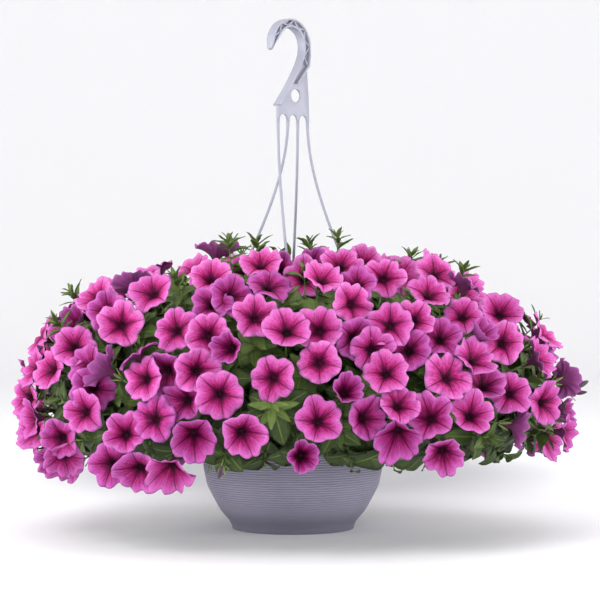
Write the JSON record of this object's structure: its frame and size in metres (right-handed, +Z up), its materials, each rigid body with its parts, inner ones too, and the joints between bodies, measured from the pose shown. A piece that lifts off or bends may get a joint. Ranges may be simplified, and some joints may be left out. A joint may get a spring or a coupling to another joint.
{
  "type": "planted hanging basket",
  "caption": "Round bowl-shaped plastic basket of trailing petunias in full bloom, with soil, a foot ring and a snap-in moulded hanger with an open hook.",
  "frame": {"origin": "on the ground, at the centre of the pot's foot ring", "axes": "+Z up through the pot and the hook, -Y the front"},
  "size_m": [0.752, 0.752, 0.683],
  "materials": {
    "pot": "matte, finely reeded, moulded",
    "hanger": "satin, moulded",
    "soil": "moist crumbly potting mix",
    "roots": "matted roots and mix",
    "stem": "soft green stem",
    "foliage": "matte, downy leaves",
    "petal": "velvety petals, dark veins and throat"
  },
  "bodies": {
    "basket": {"pot": "pot", "potting_soil": "soil", "root_plug_1": "roots", "root_plug_2": "roots", "root_plug_3": "roots", "root_plug_4": "roots", "main_stems_1": "stem", "main_stems_2": "stem", "main_stems_3": "stem", "main_stems_4": "stem", "foliage_1": "foliage", "foliage_2": "foliage", "foliage_3": "foliage", "foliage_4": "foliage", "flower_crown_1": "petal", "flower_crown_2": "petal", "flower_crown_3": "petal", "flower_crown_4": "petal", "flower_crown_5": "petal", "flower_crown_6": "petal", "flower_shoulder_1": "petal", "flower_shoulder_2": "petal", "flower_shoulder_3": "petal", "flower_shoulder_4": "petal", "flower_shoulder_5": "petal", "flower_shoulder_6": "petal", "flower_shoulder_7": "petal", "flower_shoulder_8": "petal", "flower_side_1": "petal", "flower_side_2": "petal", "flower_side_3": "petal", "flower_side_4": "petal", "flower_side_5": "petal", "flower_side_6": "petal", "flower_side_7": "petal", "flower_side_8": "petal", "flower_skirt_1": "petal", "flower_skirt_2": "petal", "flower_skirt_3": "petal", "flower_skirt_4": "petal", "flower_skirt_5": "petal", "flower_skirt_6": "petal"},
    "clips": {"hanger_clip_front": "hanger", "hanger_clip_left": "hanger", "hanger_clip_back": "hanger", "hanger_clip_right": "hanger"},
    "hook": {"hanger_hook": "hanger", "hanger_strand_front": "hanger", "hanger_strand_left": "hanger", "hanger_strand_back": "hanger", "hanger_strand_right": "hanger"}
  },
  "joints": [
    {"name": "hanger_lift", "type": "slide", "parent": "basket", "child": "clips", "axis": [0, 0, 1], "range_m": [0, 0.26], "deforming": ["hanger_clip_front", "hanger_clip_left", "hanger_clip_back", "hanger_clip_right"]},
    {"name": "hook_twist", "type": "hinge", "parent": "clips", "child": "hook", "pos_m": [0, 0, 0.6], "axis": [0, 0, 1], "range_deg": [-45, 45], "stiffness_Nm_per_rad": 0.004, "deforming": ["hanger_strand_front", "hanger_strand_left", "hanger_strand_back", "hanger_strand_right"]}
  ]
}
